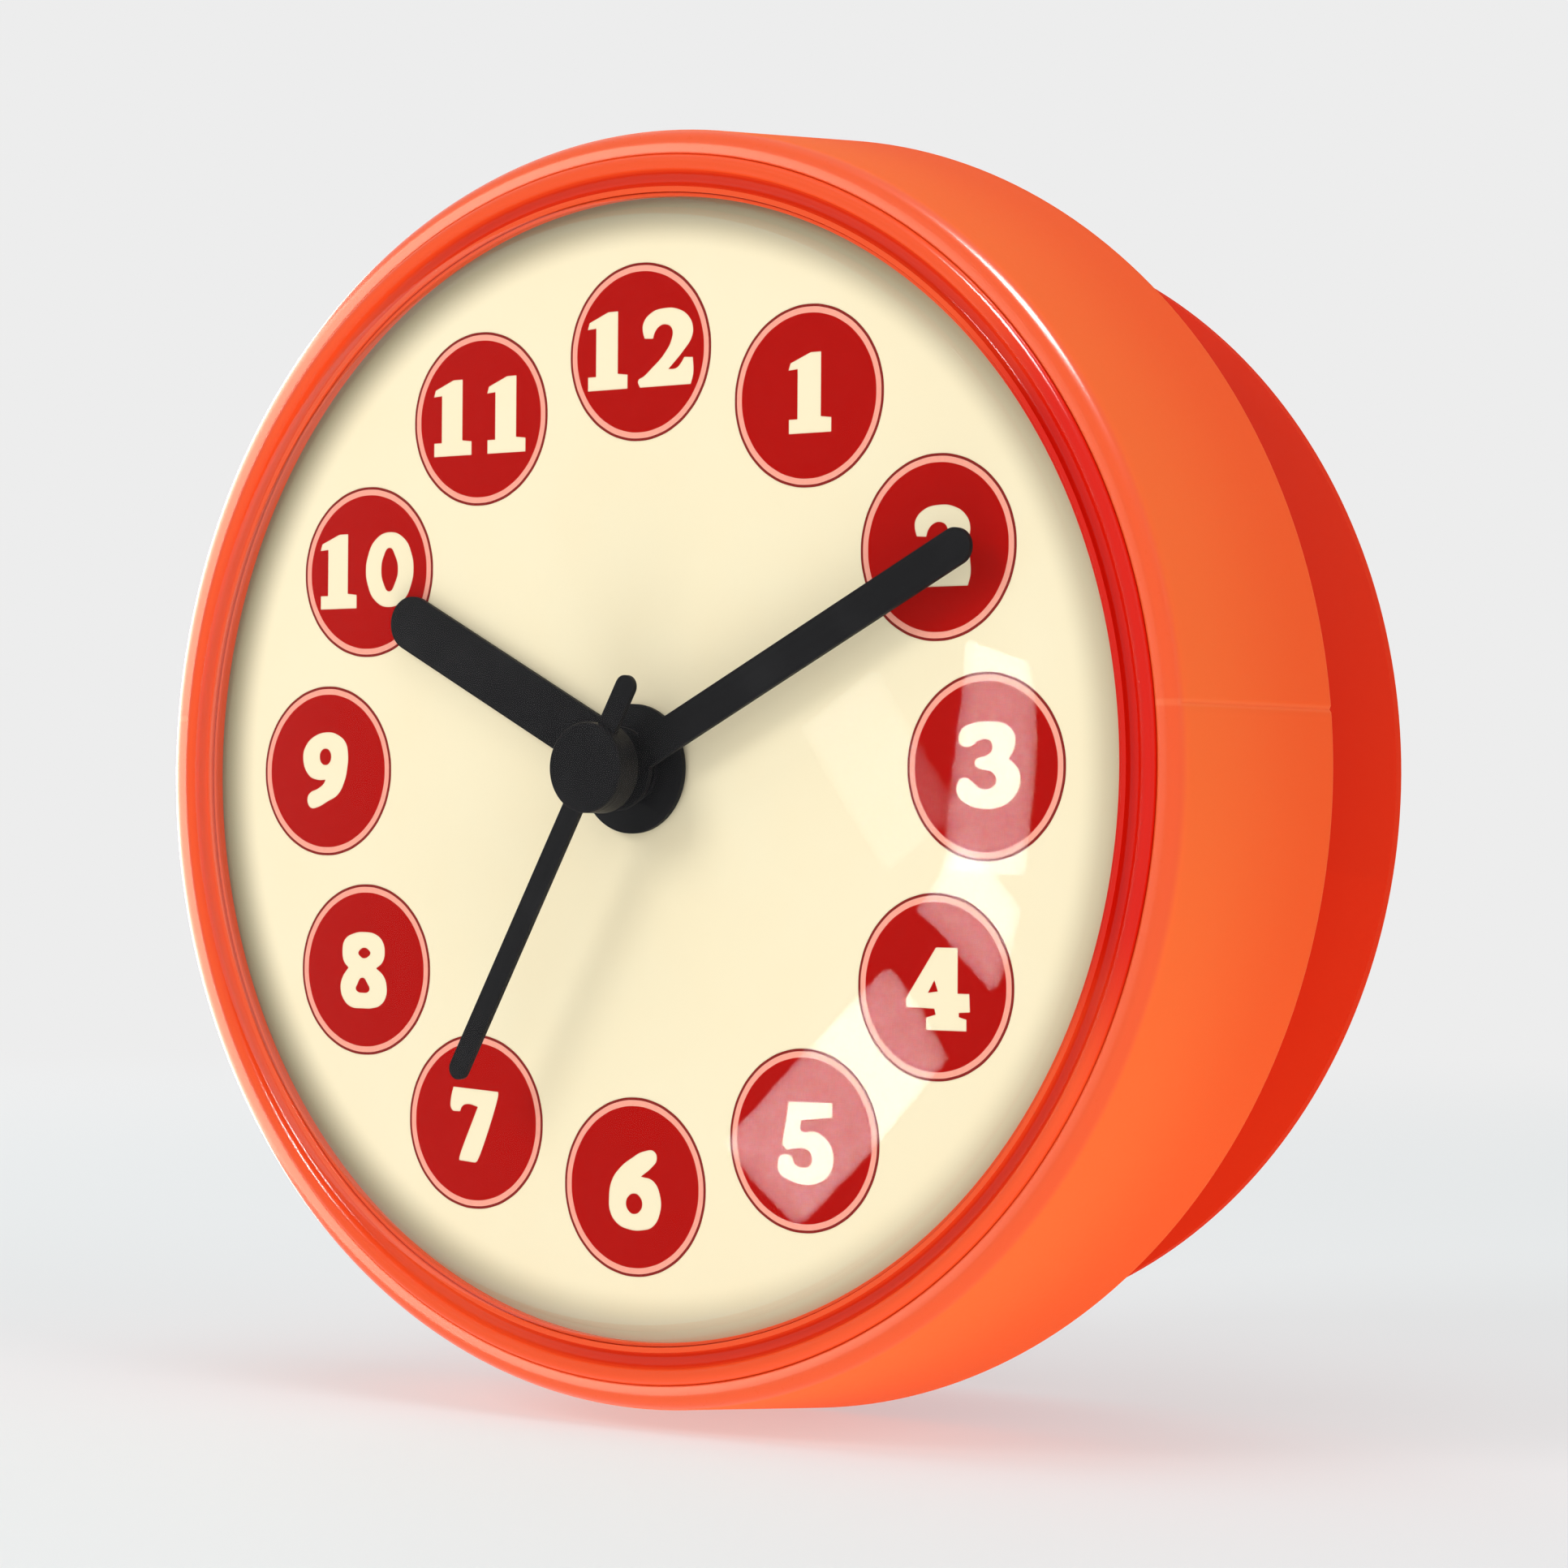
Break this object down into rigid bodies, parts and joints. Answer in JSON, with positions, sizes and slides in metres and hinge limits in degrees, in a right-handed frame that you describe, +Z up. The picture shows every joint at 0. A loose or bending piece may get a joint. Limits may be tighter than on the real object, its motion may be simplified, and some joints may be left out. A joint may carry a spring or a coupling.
{
  "type": "shower clock",
  "caption": "Round splash-proof clock: an insert with dial, hands, domed lens and quartz movement in a silicone sleeve that ends in a suction cup.",
  "frame": {"origin": "on the clock's axis, in the wall plane, at the centre of the suction cup's rim", "axes": "+Z up to twelve o'clock, +Y along the axis into the wall, the dial faces -Y, +X to three o'clock"},
  "size_m": [0.0998, 0.0459, 0.0998],
  "materials": {
    "sleeve_silicone": "matt silicone, satin at the edges",
    "ring_plastic": "glossy moulded plastic",
    "lens_plastic": "clear polished",
    "seal_rubber": "matt",
    "dial_print": "matt printed card",
    "white_plastic": "moulded, fine grain",
    "case_plastic": "moulded, fine grain",
    "movement_plastic": "moulded, fine grain",
    "gear_plastic": "smooth",
    "hand_metal": "matt black paint",
    "screw_steel": "zinc plated",
    "soft_iron": "bare laminations",
    "magnet": "sintered, dull",
    "copper_wire": "enamelled",
    "board": "solder mask",
    "potting": "cured drop",
    "spring_strip": "nickel plated",
    "cell_jacket": "plain foil jacket"
  },
  "bodies": {
    "sleeve": {"silicone_sleeve": "sleeve_silicone"},
    "clock_insert": {"bezel_ring": "ring_plastic", "lens": "lens_plastic", "lens_seal": "seal_rubber", "dial_card": "dial_print", "dial_plate": "white_plastic", "rear_case": "case_plastic", "case_screws": "screw_steel", "movement_screws": "screw_steel", "movement_housing": "movement_plastic", "train_bridge": "gear_plastic", "movement_cover": "movement_plastic", "coil_core": "soft_iron", "coil_bobbin": "gear_plastic", "coil_winding": "copper_wire", "stator": "soft_iron", "circuit_board": "board", "clock_chip": "potting", "quartz_crystal": "screw_steel", "battery_cell": "cell_jacket", "contact_plus": "spring_strip", "contact_minus": "spring_strip"},
    "minute": {"minute_arbor": "gear_plastic", "minute_hand": "hand_metal"},
    "hour": {"hour_wheel": "gear_plastic", "hour_hand": "hand_metal"},
    "motion": {"motion_wheel": "gear_plastic", "setting_knob": "gear_plastic"},
    "seconds": {"seconds_wheel": "gear_plastic", "second_hand": "hand_metal", "second_hand_cap": "hand_metal"},
    "third": {"third_wheel": "gear_plastic"},
    "centre": {"centre_wheel": "gear_plastic"},
    "intermediate": {"intermediate_wheel": "gear_plastic"},
    "rotor": {"rotor": "magnet"}
  },
  "joints": [
    {"name": "insert_pull", "type": "slide", "parent": "sleeve", "child": "clock_insert", "axis": [0, -1, 0], "range_m": [0, 0.025]},
    {"name": "minute_turn", "type": "hinge", "parent": "clock_insert", "child": "minute", "pos_m": [0, -0.03, 0], "axis": [0, 1, 0], "continuous": true},
    {"name": "hour_turn", "type": "hinge", "parent": "clock_insert", "child": "hour", "pos_m": [0, -0.03, 0], "axis": [0, 1, 0], "continuous": true},
    {"name": "motion_turn", "type": "hinge", "parent": "clock_insert", "child": "motion", "pos_m": [-0.0094, -0.03, -0.00342], "axis": [0, 1, 0], "continuous": true},
    {"name": "seconds_turn", "type": "hinge", "parent": "clock_insert", "child": "seconds", "pos_m": [0, -0.03, 0], "axis": [0, 1, 0], "continuous": true},
    {"name": "third_turn", "type": "hinge", "parent": "clock_insert", "child": "third", "pos_m": [0.0085, -0.03, 0], "axis": [0, 1, 0], "continuous": true},
    {"name": "centre_turn", "type": "hinge", "parent": "clock_insert", "child": "centre", "pos_m": [0, -0.03, 0], "axis": [0, 1, 0], "continuous": true},
    {"name": "intermediate_turn", "type": "hinge", "parent": "clock_insert", "child": "intermediate", "pos_m": [-0.00287, -0.03, 0.00789], "axis": [0, 1, 0], "continuous": true},
    {"name": "rotor_turn", "type": "hinge", "parent": "clock_insert", "child": "rotor", "pos_m": [-0.00637, -0.03, 0.01396], "axis": [0, 1, 0], "continuous": true}
  ],
  "couplings": [
    {"joint": "hour_turn", "follows": "minute_turn", "ratio": 0.083333},
    {"joint": "motion_turn", "follows": "minute_turn", "ratio": -0.33333},
    {"joint": "third_turn", "follows": "seconds_turn", "ratio": -0.13333},
    {"joint": "centre_turn", "follows": "seconds_turn", "ratio": 0.016667},
    {"joint": "intermediate_turn", "follows": "seconds_turn", "ratio": -5},
    {"joint": "rotor_turn", "follows": "seconds_turn", "ratio": 30}
  ]
}
